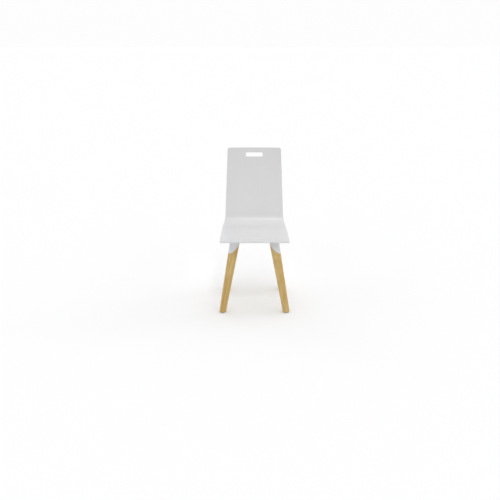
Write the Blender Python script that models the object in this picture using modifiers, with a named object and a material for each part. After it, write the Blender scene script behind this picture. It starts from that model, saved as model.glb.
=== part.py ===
"""High-backed dining chair: a bent plywood shell on a low steel frame and four turned legs.

The shell is one sheet of lacquered plywood that forms the seat and the back. Two side rails and two
cross rails lie flat under the seat. Each end of a side rail is screwed to a knuckle, a white cone that
carries on the taper of the wooden leg below it and reaches into that leg with a spigot.

Units are metres. +Z is up and the floor is at Z = 0. The front of the chair faces -Y, and left means
the -X side, which is on the left when the chair is seen from the front.
"""

from math import cos, hypot, pi, radians, sin, sqrt, tan

import bmesh
import bpy
from mathutils import Matrix, Vector

# ---------------------------------------------------------------- driving dimensions

# The shell's side view
SEAT_HEIGHT = 0.456            # floor to the sitting face at the front edge
SEAT_LENGTH = 0.340            # flat part of the seat
SEAT_SLOPE = radians(1.7)      # the seat falls towards the back
BEND_RADIUS = 0.075            # sitting face, between seat and back
BACK_LEAN = radians(12.0)      # from upright
BACK_LENGTH = 0.4225           # straight part of the back, above the bend
SHELL_THICKNESS = 0.009

# The shell's outline, as it lies before bending
SEAT_WIDTH = 0.409             # at the front edge
SEAT_TAPER = 0.010             # loss of width from the front edge to the bend
BEND_TAPER = 0.0325            # loss over the bend
BACK_TAPER = 0.0306            # loss over the straight part of the back
FRONT_CORNER_RADIUS = 0.008
TOP_CORNER_RADIUS = 0.012
RIM_ROUND = 0.0015             # rounding of the sheet's edges

# The hand slot in the back
SLOT_WIDTH = 0.105
SLOT_HEIGHT = 0.0255
SLOT_BELOW_TOP = 0.031         # top edge of the shell to top edge of the slot
SLOT_CORNER_RADIUS = 0.006

# Where the legs' axes meet the underside of the rails
FRONT_LEG_SETBACK = 0.1009     # behind the seat's front edge
REAR_LEG_BEFORE_BEND = 0.0100
FRONT_LEG_FROM_SIDE = 0.0875   # from the side of the seat's front edge
REAR_LEG_INSET = 0.0067        # rear legs stand nearer the middle than the front ones

# The legs
LEG_SPLAY = radians(10.1)      # seen from the front, and again from the side
FOOT_DIAMETER = 0.040          # of the leg's cone at the floor
CONE_TOP_DIAMETER = 0.059      # of the same cone at the rails
FOOT_ROUND = 0.003

# The slanting joint between leg and knuckle
JOINT_BELOW_SEAT = 0.067       # where the joint crosses the leg's axis
JOINT_TILT = radians(40.3)     # from level
JOINT_TURN = radians(58.0)     # its lowest point, turned outwards from straight ahead or behind
SPIGOT_DIAMETER = 0.024
SPIGOT_LENGTH = 0.060          # below the joint, along the leg
LEG_SCREW_BELOW_JOINT = 0.034

# The frame under the seat
RAIL_WIDTH = 0.030
RAIL_HEIGHT = 0.015
RAIL_WALL = 0.0015
RAIL_OVERHANG = 0.026          # side rail past each knuckle's centre
CROSS_RAIL_FROM_LEG = 0.050    # centre line, from the nearest legs' axes
END_CAP_PLATE = 0.002
END_CAP_TO_SCREW = 0.002       # free space between a cap's plug and the nearest screw head

# Fasteners
SPACER_DIAMETER = 0.020
SPACER_THICKNESS = 0.0015
SEAT_SCREW_FROM_SIDE_RAIL = 0.047   # centre to centre
INSERT_DIAMETER = 0.009
INSERT_COVER = 0.0022          # plywood left above an insert
KNUCKLE_SCREW_SPACING = 0.024  # along the side rail
KNUCKLE_SCREW_LENGTH = 0.012
SCREW_DIAMETER = 0.006
SCREW_HEAD_DIAMETER = 0.0105
SCREW_HEAD_HEIGHT = 0.0033
HEX_SOCKET_WIDTH = 0.004
HEX_SOCKET_DEPTH = 0.0018

# The feet
GLIDE_DIAMETER = 0.027
GLIDE_THICKNESS = 0.004
GLIDE_ROUND = 0.001
NAIL_DIAMETER = 0.003
NAIL_HEAD_DIAMETER = 0.007
NAIL_HEAD_THICKNESS = 0.001
NAIL_LENGTH = 0.020

# Fits and mesh fineness
GAP = 0.0003                   # between pieces that touch
HOLE_ALLOWANCE = 0.0006        # a hole is this much wider than what goes through it
DRILL_PAST = 0.001             # a cutter reaches this far past the face it opens
CUTTING_BLOCK = 1.0            # side of the blocks that cut off whatever lies past a plane
CONE_SIDES = 32
SCREW_SIDES = 12
RING_SIDES = 18

# ---------------------------------------------------------------- derived sizes

BEND_TURN = pi / 2 - BACK_LEAN + SEAT_SLOPE
BEND_LENGTH = BEND_RADIUS * BEND_TURN
SHELL_LENGTH = SEAT_LENGTH + BEND_LENGTH + BACK_LENGTH
BEND_DEPTH = BEND_RADIUS * (sin(BEND_TURN - SEAT_SLOPE) + sin(SEAT_SLOPE))
SEAT_DEPTH = SEAT_LENGTH * cos(SEAT_SLOPE)
BACK_DEPTH = BACK_LENGTH * sin(BACK_LEAN)
OVERALL_DEPTH = SEAT_DEPTH + BEND_DEPTH + BACK_DEPTH + SHELL_THICKNESS * cos(BACK_LEAN)
FRONT_Y = -OVERALL_DEPTH / 2

# Levels below the seat's underside, square to it
RAIL_TOP_DROP = SPACER_THICKNESS + 2 * GAP
RAIL_BOTTOM_DROP = RAIL_TOP_DROP + RAIL_HEIGHT
KNUCKLE_TOP_DROP = RAIL_BOTTOM_DROP + GAP

FRONT_LEG_X = SEAT_WIDTH / 2 - FRONT_LEG_FROM_SIDE
REAR_LEG_X = FRONT_LEG_X - REAR_LEG_INSET
REAR_LEG_SETBACK = SEAT_LENGTH - REAR_LEG_BEFORE_BEND
LEG_LEAN = hypot(tan(LEG_SPLAY), tan(LEG_SPLAY))   # sideways run for each metre of rise
AXIS_PER_RISE = hypot(1.0, LEG_LEAN)               # length along a leg for each metre of rise
JOINT_ALONG = (SEAT_HEIGHT - JOINT_BELOW_SEAT) * AXIS_PER_RISE
CONE_TOP_ALONG = (SEAT_HEIGHT - SHELL_THICKNESS - KNUCKLE_TOP_DROP) * AXIS_PER_RISE
SCREW_HOLE_DIAMETER = SCREW_DIAMETER + HOLE_ALLOWANCE
END_CAP_PLUG = (RAIL_OVERHANG - KNUCKLE_SCREW_SPACING / 2 - SCREW_HEAD_DIAMETER / 2
                - END_CAP_TO_SCREW)   # reach of a cap's plug into the rail
INSERT_LENGTH = SHELL_THICKNESS - INSERT_COVER - 2 * GAP
SEAT_SCREW_LENGTH = RAIL_BOTTOM_DROP + INSERT_LENGTH

LEGS = [(end_name, end, side_name, side)
        for end_name, end in (("front", -1), ("rear", 1))
        for side_name, side in (("left", -1), ("right", 1))]


# ---------------------------------------------------------------- Blender helpers

def clear_scene():
    for old in list(bpy.data.objects):
        bpy.data.objects.remove(old, do_unlink=True)


def new_collection(name):
    collection = bpy.data.collections.new(name)
    bpy.context.scene.collection.children.link(collection)
    return collection


def new_material(name, colour, roughness, metallic=0.0):
    material = bpy.data.materials.new(name)
    material.use_nodes = True
    shader = material.node_tree.nodes["Principled BSDF"]
    shader.inputs["Base Color"].default_value = (*colour, 1.0)
    shader.inputs["Roughness"].default_value = roughness
    shader.inputs["Metallic"].default_value = metallic
    material.diffuse_color = (*colour, 1.0)
    return material


def add_part(name, mesh, material, matrix=None, parent=None):
    """Put a mesh in the chair's collection, in the place that matrix gives under its parent."""
    part = bpy.data.objects.new(name, mesh)
    part.parent = parent
    part.matrix_local = matrix or Matrix()
    if not mesh.materials:
        mesh.materials.append(material)
    chair.objects.link(part)
    return part


def add_cutter(name, mesh, matrix=None, parent=None):
    cutter = bpy.data.objects.new(name, mesh)
    cutter.parent = parent
    cutter.matrix_local = matrix or Matrix()
    cutter.hide_render = True
    cutter.display_type = "WIRE"
    cutters.objects.link(cutter)
    return cutter


def add_guide(name, matrix):
    """An empty that carries the pieces measured from it."""
    guide = bpy.data.objects.new(name, None)
    guide.matrix_world = matrix
    guide.empty_display_size = 0.03
    cutters.objects.link(guide)
    return guide


def combine(part, other, operation="DIFFERENCE"):
    modifier = part.modifiers.new(f"{operation.lower()} {other.name}", "BOOLEAN")
    modifier.operation = operation
    modifier.solver = "EXACT"
    modifier.object = other


def shade_round(mesh):
    mesh.shade_smooth()
    mesh.set_sharp_from_angle(angle=radians(35))


def mesh_from(name, bm, smooth=False):
    mesh = bpy.data.meshes.new(name)
    bm.to_mesh(mesh)
    bm.free()
    if smooth:
        shade_round(mesh)
    return mesh


def box_mesh(name, width, depth, height, centre=(0.0, 0.0, 0.0)):
    bm = bmesh.new()
    size = Matrix.Diagonal((width, depth, height, 1.0))
    bmesh.ops.create_cube(bm, size=1.0, matrix=Matrix.Translation(centre) @ size)
    return mesh_from(name, bm)


def cone_mesh(name, bottom, top, bottom_radius, top_radius, sides=CONE_SIDES):
    """A cone or cylinder about Z, from height bottom to height top."""
    bm = bmesh.new()
    place = Matrix.Translation((0.0, 0.0, (bottom + top) / 2))
    bmesh.ops.create_cone(bm, cap_ends=True, segments=sides, radius1=bottom_radius,
                          radius2=top_radius, depth=top - bottom, matrix=place)
    return mesh_from(name, bm, smooth=True)


def hole_mesh(diameter, bottom, top):
    return cone_mesh("hole", bottom, top, diameter / 2, diameter / 2, SCREW_SIDES)


def turned_mesh(name, profile, sides, closed=False, hex_socket=None):
    """Turn a profile of (radius, height) points about Z. It runs down its outer side."""
    bm = bmesh.new()
    points = [bm.verts.new((radius, 0.0, height)) for radius, height in profile]
    for start, end in zip(points, points[1:]):
        bm.edges.new((start, end))
    if closed:
        bm.edges.new((points[-1], points[0]))
    blank = add_cutter(f"{name} blank", mesh_from(name, bm))
    screw = blank.modifiers.new("turn", "SCREW")
    screw.steps = sides
    screw.render_steps = sides
    screw.use_merge_vertices = True
    screw.merge_threshold = 0.00005
    if hex_socket:
        combine(blank, hex_socket)
    mesh = frozen_mesh(blank, name)
    bpy.data.objects.remove(blank)
    shade_round(mesh)
    return mesh


def frozen_mesh(source, name):
    """The mesh that an object's modifiers make, for several objects to share."""
    bpy.context.view_layer.update()
    graph = bpy.context.evaluated_depsgraph_get()
    mesh = bpy.data.meshes.new_from_object(source.evaluated_get(graph))
    mesh.name = name
    return mesh


# ---------------------------------------------------------------- shell

def shell_matrix(along):
    """The frame on the sitting face: X across, Y along the sheet, Z out of the face."""
    turn = min(max(along - SEAT_LENGTH, 0.0) / BEND_RADIUS, BEND_TURN)
    flat = min(along, SEAT_LENGTH)
    straight = max(along - SEAT_LENGTH - BEND_LENGTH, 0.0)
    heading = turn - SEAT_SLOPE
    y = (flat * cos(SEAT_SLOPE) + BEND_RADIUS * (sin(heading) + sin(SEAT_SLOPE))
         + straight * sin(BACK_LEAN))
    z = (-flat * sin(SEAT_SLOPE) + BEND_RADIUS * (cos(SEAT_SLOPE) - cos(heading))
         + straight * cos(BACK_LEAN))
    place = Matrix.Translation((0.0, FRONT_Y + y, SEAT_HEIGHT + z))
    return place @ Matrix.Rotation(heading, 4, "X")


def hermite(t, start, start_slope, end, end_slope):
    """A cubic from start to end for t from 0 to 1, with the slopes given per unit of t."""
    return (start * (2 * t**3 - 3 * t**2 + 1) + start_slope * (t**3 - 2 * t**2 + t)
            + end * (3 * t**2 - 2 * t**3) + end_slope * (t**3 - t**2))


def sheet_width(along):
    """The width of the sheet at a distance along it from the seat's front edge."""
    rear_width = SEAT_WIDTH - SEAT_TAPER
    waist_width = rear_width - BEND_TAPER
    seat_slope = -2 * SEAT_TAPER / SEAT_LENGTH
    back_slope = -BACK_TAPER / BACK_LENGTH
    past_seat = along - SEAT_LENGTH
    if past_seat <= 0:
        return SEAT_WIDTH - SEAT_TAPER * (along / SEAT_LENGTH) ** 2
    if past_seat <= BEND_LENGTH:
        return hermite(past_seat / BEND_LENGTH, rear_width, seat_slope * BEND_LENGTH,
                       waist_width, back_slope * BEND_LENGTH)
    return waist_width + back_slope * (past_seat - BEND_LENGTH)


def sheet_rows():
    """Where the sheet's cross rows lie, close together in the bend."""
    rows = []
    start = 0.0
    for length, steps in ((SEAT_LENGTH, 7), (BEND_LENGTH, 16), (BACK_LENGTH, 4)):
        rows += [start + length * step / steps for step in range(steps)]
        start += length
    return rows + [SHELL_LENGTH]


def sitting_face_mesh():
    """The open sheet of the sitting face, bent from a flat grid, with its corners rounded."""
    rows = sheet_rows()
    last = len(rows) - 1
    corners = {0: [], last: []}
    bm = bmesh.new()
    bmesh.ops.create_grid(bm, x_segments=2, y_segments=last, size=1.0)
    for vertex in bm.verts:
        row = round((vertex.co.y + 1) / 2 * last)
        if row in corners and len(vertex.link_edges) == 2:
            corners[row].append(vertex)
        across = vertex.co.x * sheet_width(rows[row]) / 2
        vertex.co = shell_matrix(rows[row]) @ Vector((across, 0.0, 0.0))
    for row, radius in ((0, FRONT_CORNER_RADIUS), (last, TOP_CORNER_RADIUS)):
        bmesh.ops.bevel(bm, geom=corners[row], offset=radius, segments=4, profile=0.5,
                        affect="VERTICES")
    return mesh_from("seat_shell", bm, smooth=True)


def slot_mesh():
    """A block with rounded upright edges, for cutting the hand slot."""
    bm = bmesh.new()
    size = Matrix.Diagonal((SLOT_WIDTH, SLOT_HEIGHT, SHELL_THICKNESS * 4, 1.0))
    bmesh.ops.create_cube(bm, size=1.0, matrix=size)
    through = [edge for edge in bm.edges
               if abs(edge.verts[0].co.z - edge.verts[1].co.z) > SHELL_THICKNESS]
    bmesh.ops.bevel(bm, geom=through, offset=SLOT_CORNER_RADIUS, segments=4, profile=0.5,
                    affect="EDGES")
    return mesh_from("slot", bm)


def make_shell(material):
    shell = add_part("seat_shell", sitting_face_mesh(), material)
    thicken = shell.modifiers.new("thickness", "SOLIDIFY")
    thicken.thickness = SHELL_THICKNESS
    thicken.offset = -1.0
    thicken.use_even_offset = True
    slot_along = SHELL_LENGTH - SLOT_BELOW_TOP - SLOT_HEIGHT / 2
    combine(shell, add_cutter("cut hand slot", slot_mesh(), shell_matrix(slot_along)))
    rim = shell.modifiers.new("round rim", "BEVEL")
    rim.width = RIM_ROUND
    rim.segments = 2
    rim.limit_method = "ANGLE"
    rim.angle_limit = radians(45)
    return shell


# ---------------------------------------------------------------- frame under the seat

def leg_top(end, side):
    """Where a leg's axis meets the underside of the rails, seen from the seat's underside."""
    if end < 0:
        return Vector((side * FRONT_LEG_X, FRONT_LEG_SETBACK, -RAIL_BOTTOM_DROP))
    return Vector((side * REAR_LEG_X, REAR_LEG_SETBACK, -RAIL_BOTTOM_DROP))


def side_rail_matrix(side):
    """A side rail's frame: Y along the rail from front to rear, Z square to the seat."""
    front = leg_top(-1, side)
    rear = leg_top(1, side)
    middle = (front + rear) / 2 + Vector((0.0, 0.0, RAIL_HEIGHT / 2))
    heading = (rear - front).to_2d().angle_signed(Vector((0.0, 1.0)))
    return Matrix.Translation(middle) @ Matrix.Rotation(heading, 4, "Z")


def leg_span():
    """Front leg to rear leg, along a side rail."""
    return (leg_top(1, 1) - leg_top(-1, 1)).length


def add_tube(name, length, along_y, matrix, material, parent):
    """A rectangular tube, open at both ends, with its length along Y or X."""
    inner_width = RAIL_WIDTH - 2 * RAIL_WALL
    inner_height = RAIL_HEIGHT - 2 * RAIL_WALL
    bore_length = length + 2 * DRILL_PAST
    if along_y:
        outer = box_mesh(name, RAIL_WIDTH, length, RAIL_HEIGHT)
        bore = box_mesh(f"{name} bore", inner_width, bore_length, inner_height)
    else:
        outer = box_mesh(name, length, RAIL_WIDTH, RAIL_HEIGHT)
        bore = box_mesh(f"{name} bore", bore_length, inner_width, inner_height)
    tube = add_part(name, outer, material, matrix, parent)
    combine(tube, add_cutter(f"bore {name}", bore, matrix, parent))
    return tube


def make_side_rail(side_name, side, coat, plastic, underside):
    matrix = side_rail_matrix(side)
    length = leg_span() + 2 * RAIL_OVERHANG
    rail = add_tube(f"{side_name}_side_rail", length, True, matrix, coat, underside)
    for end_name, end in (("front", -1), ("rear", 1)):
        make_end_cap(f"{side_name}_rail_{end_name}_cap", end, length, matrix, plastic, underside)
    return rail


def make_end_cap(name, end, rail_length, matrix, material, parent):
    """A plug with a plate that closes one end of a side rail."""
    plate_y = end * (rail_length / 2 + GAP + END_CAP_PLATE / 2)
    plate = box_mesh(name, RAIL_WIDTH, END_CAP_PLATE, RAIL_HEIGHT, (0.0, plate_y, 0.0))
    plug_y = end * (rail_length - END_CAP_PLUG + END_CAP_PLATE) / 2
    plug_width = RAIL_WIDTH - 2 * (RAIL_WALL + GAP)
    plug_height = RAIL_HEIGHT - 2 * (RAIL_WALL + GAP)
    plug_length = END_CAP_PLUG + END_CAP_PLATE
    plug = box_mesh(f"{name} plug", plug_width, plug_length, plug_height, (0.0, plug_y, 0.0))
    cap = add_part(name, plate, material, matrix, parent)
    combine(cap, add_cutter(f"plug {name}", plug, matrix, parent), "UNION")


def make_cross_rail(name, setback, material, underside):
    """A cross rail between the side rails, with its ends cut to lie against them."""
    longest = 2 * FRONT_LEG_X
    level = -(RAIL_TOP_DROP + RAIL_BOTTOM_DROP) / 2
    rail = add_tube(name, longest, False, Matrix.Translation((0.0, setback, level)), material, underside)
    for side_name, side in (("left", -1), ("right", 1)):
        block = box_mesh(f"{name} end", longest, longest, 2 * RAIL_HEIGHT,
                         (side * (longest - RAIL_WIDTH - 2 * GAP) / 2, 0.0, 0.0))
        cutter = add_cutter(f"trim {side_name} end of {name}", block, side_rail_matrix(side), underside)
        combine(rail, cutter)
    return rail


# ---------------------------------------------------------------- legs

def foot_centre(end, side):
    """The point where a leg's axis meets the floor."""
    top = UNDERSIDE @ leg_top(end, side)
    down = leg_direction(end, side)
    return top - down * (top.z / down.z)


def leg_direction(end, side):
    """The direction up a leg's axis, which leans towards the chair's middle."""
    return Vector((-side * tan(LEG_SPLAY), -end * tan(LEG_SPLAY), 1.0)).normalized()


def leg_matrix(end, side):
    """A leg's frame at the floor: Z up the leg, X towards the chair's middle."""
    z_axis = leg_direction(end, side)
    inward = Vector((-side, -end, 0.0))
    y_axis = z_axis.cross(inward).normalized()
    x_axis = y_axis.cross(z_axis)
    rotation = Matrix((x_axis, y_axis, z_axis)).transposed()
    return Matrix.Translation(foot_centre(end, side)) @ rotation.to_4x4()


def cone_radius(along):
    """The radius that leg and knuckle share, at a distance along the leg from the floor."""
    taper = (CONE_TOP_DIAMETER - FOOT_DIAMETER) / 2 / CONE_TOP_ALONG
    return FOOT_DIAMETER / 2 + taper * along


def joint_matrix(end, side):
    """The slanting joint's frame: its centre on the leg's axis and Z square to the joint."""
    centre = leg_matrix(end, side) @ Vector((0.0, 0.0, JOINT_ALONG))
    lowest = Vector((side * sin(JOINT_TURN), end * cos(JOINT_TURN), 0.0))
    normal = lowest * sin(JOINT_TILT) + Vector((0.0, 0.0, cos(JOINT_TILT)))
    return Matrix.Translation(centre) @ normal.to_track_quat("Z", "Y").to_matrix().to_4x4()


def half_space(name, direction, level, matrix, parent=None):
    """A block that fills everything on one side of the level Z in the frame given."""
    size = CUTTING_BLOCK
    block = box_mesh(name, size, size, size, (0.0, 0.0, level + direction * size / 2))
    return add_cutter(name, block, matrix, parent)


def leg_screw_matrix():
    """In a leg's frame, the screw's head bears on wood and its shank points at the axis."""
    along = JOINT_ALONG - LEG_SCREW_BELOW_JOINT
    seat_of_head = cone_radius(along) - SCREW_HEAD_HEIGHT - 2 * GAP
    return Matrix.Translation((seat_of_head, 0.0, along)) @ Matrix.Rotation(-pi / 2, 4, "Y")


def leg_screw_length():
    along = JOINT_ALONG - LEG_SCREW_BELOW_JOINT
    return cone_radius(along) - SCREW_HEAD_HEIGHT


def make_leg(name, end, side, guide, material):
    below_floor = -0.03
    past_joint = JOINT_ALONG + CONE_TOP_DIAMETER
    leg = add_part(f"{name}_leg", cone_mesh(f"{name}_leg", below_floor, past_joint,
                   cone_radius(below_floor), cone_radius(past_joint)), material, None, guide)
    combine(leg, half_space(f"floor under {name}", -1, GLIDE_THICKNESS + GAP,
                            Matrix.Translation(foot_centre(end, side))))
    foot = leg.modifiers.new("round foot", "BEVEL")
    foot.width = FOOT_ROUND
    foot.segments = 3
    foot.limit_method = "ANGLE"
    foot.angle_limit = radians(45)
    combine(leg, half_space(f"above joint {name}", 1, -GAP / 2, joint_matrix(end, side)))
    bore_bottom = JOINT_ALONG - SPIGOT_LENGTH - 2 * GAP
    bore_radius = SPIGOT_DIAMETER / 2 + GAP
    combine(leg, add_cutter(f"bore {name}", cone_mesh("bore", bore_bottom, past_joint, bore_radius,
                                                      bore_radius), None, guide))
    screw_place = leg_screw_matrix()
    shank = hole_mesh(SCREW_HOLE_DIAMETER, -DRILL_PAST, leg_screw_length())
    head = hole_mesh(SCREW_HEAD_DIAMETER + HOLE_ALLOWANCE, -2 * SCREW_HEAD_HEIGHT, GAP)
    combine(leg, add_cutter(f"leg screw hole {name}", shank, screw_place, guide))
    combine(leg, add_cutter(f"leg screw head {name}", head, screw_place, guide))
    nail_hole = hole_mesh(NAIL_DIAMETER + 2 * GAP, 0.0, NAIL_LENGTH + DRILL_PAST)
    combine(leg, add_cutter(f"nail hole {name}", nail_hole, Matrix.Translation(glide_centre(end, side))))
    return leg


def make_knuckle(name, end, side, guide, underside, material):
    bottom = JOINT_ALONG - CONE_TOP_DIAMETER
    top = CONE_TOP_ALONG + CONE_TOP_DIAMETER
    knuckle = add_part(f"{name}_knuckle", cone_mesh(f"{name}_knuckle", bottom, top,
                       cone_radius(bottom), cone_radius(top)), material, None, guide)
    combine(knuckle, half_space(f"below joint {name}", -1, GAP / 2, joint_matrix(end, side)))
    spigot = cone_mesh("spigot", JOINT_ALONG - SPIGOT_LENGTH, CONE_TOP_ALONG - RAIL_HEIGHT,
                       SPIGOT_DIAMETER / 2, SPIGOT_DIAMETER / 2)
    combine(knuckle, add_cutter(f"spigot {name}", spigot, None, guide), "UNION")
    combine(knuckle, half_space(f"above knuckle {name}", 1, -KNUCKLE_TOP_DROP, Matrix(), underside))
    tapped = hole_mesh(SCREW_HOLE_DIAMETER, -DRILL_PAST, leg_screw_length() + DRILL_PAST)
    combine(knuckle, add_cutter(f"spigot hole {name}", tapped, leg_screw_matrix(), guide))
    return knuckle


def glide_centre(end, side):
    """The middle of the sawn foot, brought down to the floor."""
    axis = leg_direction(end, side)
    centre = foot_centre(end, side) + axis * (GLIDE_THICKNESS / axis.z)
    centre.z = 0.0
    return centre


# ---------------------------------------------------------------- small parts

def screw_mesh(name, length):
    """A button-head screw: Z = 0 under the head and the shank points up."""
    radius = SCREW_DIAMETER / 2
    head_radius = SCREW_HEAD_DIAMETER / 2
    chamfer = radius / 6
    profile = [
        (0.0, length),
        (radius - chamfer, length),
        (radius, length - chamfer),
        (radius, 0.0),
        (head_radius, 0.0),
        (head_radius, -0.3 * SCREW_HEAD_HEIGHT),
        (0.8 * head_radius, -0.8 * SCREW_HEAD_HEIGHT),
        (0.55 * head_radius, -SCREW_HEAD_HEIGHT),
        (0.0, -SCREW_HEAD_HEIGHT),
    ]
    hexagon_radius = HEX_SOCKET_WIDTH / sqrt(3)
    bottom = -SCREW_HEAD_HEIGHT - DRILL_PAST
    socket = cone_mesh("socket", bottom, -SCREW_HEAD_HEIGHT + HEX_SOCKET_DEPTH, hexagon_radius,
                       hexagon_radius, 6)
    return turned_mesh(name, profile, SCREW_SIDES, hex_socket=add_cutter(f"socket {name}", socket))


def ring_mesh(name, inner_radius, outer_radius, bottom, top):
    profile = [(inner_radius, top), (outer_radius, top), (outer_radius, bottom), (inner_radius, bottom)]
    return turned_mesh(name, profile, RING_SIDES, closed=True)


def glide_mesh():
    """A disc to slide on, with a sunk seat for the nail's head."""
    hole = NAIL_DIAMETER / 2 + GAP
    sink = NAIL_HEAD_DIAMETER / 2 + GAP
    sink_depth = NAIL_HEAD_THICKNESS + 2 * GAP
    radius = GLIDE_DIAMETER / 2
    profile = [
        (hole, GLIDE_THICKNESS),
        (radius, GLIDE_THICKNESS),
        (radius, GLIDE_ROUND),
        (radius - GLIDE_ROUND, 0.0),
        (sink, 0.0),
        (sink, sink_depth),
        (hole, sink_depth),
    ]
    return turned_mesh("glide", profile, RING_SIDES, closed=True)


def nail_mesh():
    """A flat-headed nail that points up, with the underside of its head just above the floor."""
    radius = NAIL_DIAMETER / 2
    head_radius = NAIL_HEAD_DIAMETER / 2
    head_top = GAP + NAIL_HEAD_THICKNESS
    profile = [
        (0.0, NAIL_LENGTH),
        (radius, NAIL_LENGTH - 2 * NAIL_DIAMETER),
        (radius, head_top),
        (head_radius, head_top),
        (head_radius, GAP),
        (0.0, GAP),
    ]
    return turned_mesh("glide_nail", profile, SCREW_SIDES)


def fit_knuckle_screws(name, end, side, knuckle, rail, mesh, material, underside):
    """Two screws inside the rail hold the knuckle, and holes in the rail's top let them in."""
    rail_frame = side_rail_matrix(side)
    knuckle_y = end * leg_span() / 2
    floor_of_rail = -RAIL_HEIGHT / 2 + RAIL_WALL
    for number, step in enumerate((-1, 1), start=1):
        y = knuckle_y + step * KNUCKLE_SCREW_SPACING / 2
        place = rail_frame @ Matrix.Translation((0.0, y, floor_of_rail + GAP))
        label = f"{name}_knuckle_screw_{number}"
        add_part(label, mesh, material, place @ Matrix.Rotation(pi, 4, "X"), underside)
        deepest = -KNUCKLE_SCREW_LENGTH - DRILL_PAST
        shank = hole_mesh(SCREW_HOLE_DIAMETER, deepest, RAIL_WALL)
        access = hole_mesh(SCREW_HEAD_DIAMETER + HOLE_ALLOWANCE, RAIL_HEIGHT / 2, 2 * RAIL_HEIGHT)
        shank_cutter = add_cutter(f"shank {label}", shank, place, underside)
        combine(knuckle, shank_cutter)
        combine(rail, shank_cutter)
        combine(rail, add_cutter(f"access {label}", access, place, underside))


def fit_seat_screw(end_name, side_name, side, setback, shell, rail, meshes, materials, underside):
    """A screw from below goes through the cross rail and a spacer into an insert in the shell."""
    at = Matrix.Translation((side * (REAR_LEG_X - SEAT_SCREW_FROM_SIDE_RAIL), setback, 0.0))
    place = f"{end_name}_{side_name}"
    head_level = Matrix.Translation((0.0, 0.0, -RAIL_BOTTOM_DROP - GAP))
    add_part(f"{place}_seat_screw", meshes["seat_screw"], materials["zinc"], at @ head_level, underside)
    add_part(f"{place}_spacer", meshes["spacer"], materials["nylon"], at, underside)
    add_part(f"{place}_insert", meshes["insert"], materials["brass"], at, underside)
    through = hole_mesh(SCREW_HOLE_DIAMETER, -2 * RAIL_BOTTOM_DROP, 0.0)
    combine(rail, add_cutter(f"seat screw hole {place}", through, at, underside))
    pocket = hole_mesh(INSERT_DIAMETER + HOLE_ALLOWANCE, -DRILL_PAST, SHELL_THICKNESS - INSERT_COVER)
    combine(shell, add_cutter(f"insert pocket {place}", pocket, at, underside))


# ---------------------------------------------------------------- the chair

clear_scene()
chair = new_collection("dining_chair")
cutters = new_collection("cutters and guides")
UNDERSIDE = shell_matrix(0.0) @ Matrix.Translation((0.0, 0.0, -SHELL_THICKNESS))


def make_chair():
    lacquer = new_material("white lacquer", (0.63, 0.63, 0.63), 0.35)
    powder = new_material("white powder coat", (0.68, 0.68, 0.69), 0.45)
    cast = new_material("white cast coat", (0.64, 0.64, 0.66), 0.45)
    beech = new_material("oiled beech", (0.55, 0.38, 0.15), 0.5)
    plastic = new_material("white plastic", (0.72, 0.72, 0.73), 0.55)
    steel = new_material("bright steel", (0.55, 0.55, 0.56), 0.35, 1.0)
    glide_nylon = new_material("warm grey nylon", (0.42, 0.40, 0.37), 0.5)
    materials = {
        "zinc": new_material("zinc plate", (0.62, 0.63, 0.65), 0.3, 1.0),
        "brass": new_material("brass", (0.72, 0.56, 0.28), 0.35, 1.0),
        "nylon": new_material("grey nylon", (0.55, 0.55, 0.55), 0.6),
    }
    meshes = {
        "seat_screw": screw_mesh("seat_screw", SEAT_SCREW_LENGTH),
        "leg_screw": screw_mesh("leg_screw", leg_screw_length()),
        "knuckle_screw": screw_mesh("knuckle_screw", KNUCKLE_SCREW_LENGTH),
        "spacer": ring_mesh("spacer", SCREW_HOLE_DIAMETER / 2, SPACER_DIAMETER / 2,
                            -SPACER_THICKNESS - GAP, -GAP),
        "insert": ring_mesh("insert", SCREW_HOLE_DIAMETER / 2, INSERT_DIAMETER / 2,
                            GAP, GAP + INSERT_LENGTH),
        "glide": glide_mesh(),
        "nail": nail_mesh(),
    }
    underside = add_guide("underside of seat", UNDERSIDE)
    shell = make_shell(lacquer)
    side_rails = {side: make_side_rail(side_name, side, powder, plastic, underside)
                  for side_name, side in (("left", -1), ("right", 1))}
    for end_name, setback in (("front", FRONT_LEG_SETBACK + CROSS_RAIL_FROM_LEG),
                              ("rear", REAR_LEG_SETBACK - CROSS_RAIL_FROM_LEG)):
        cross_rail = make_cross_rail(f"{end_name}_cross_rail", setback, powder, underside)
        for side_name, side in (("left", -1), ("right", 1)):
            fit_seat_screw(end_name, side_name, side, setback, shell, cross_rail, meshes, materials,
                           underside)
    for end_name, end, side_name, side in LEGS:
        name = f"{end_name}_{side_name}"
        guide = add_guide(f"axis of {name} leg", leg_matrix(end, side))
        make_leg(name, end, side, guide, beech)
        knuckle = make_knuckle(name, end, side, guide, underside, cast)
        add_part(f"{name}_leg_screw", meshes["leg_screw"], materials["zinc"], leg_screw_matrix(), guide)
        fit_knuckle_screws(name, end, side, knuckle, side_rails[side], meshes["knuckle_screw"],
                           materials["zinc"], underside)
        under_foot = Matrix.Translation(glide_centre(end, side))
        add_part(f"{name}_glide", meshes["glide"], glide_nylon, under_foot)
        add_part(f"{name}_glide_nail", meshes["nail"], steel, under_foot)


make_chair()
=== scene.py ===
"""Looks of the high-backed dining chair: fine surfaces, materials, a pale floor and soft light.

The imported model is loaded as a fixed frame. Every piece is rebuilt here with smooth, rounded surfaces
in the place that the model gives it. Sizes are the chair's own, in metres: +Z is up, the floor is at
Z = 0, the front faces -Y, and left is the -X side, as seen from the front.
"""

from math import cos, hypot, pi, radians, sin, sqrt, tan

import bmesh
import bpy
from mathutils import Matrix, Vector

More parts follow.
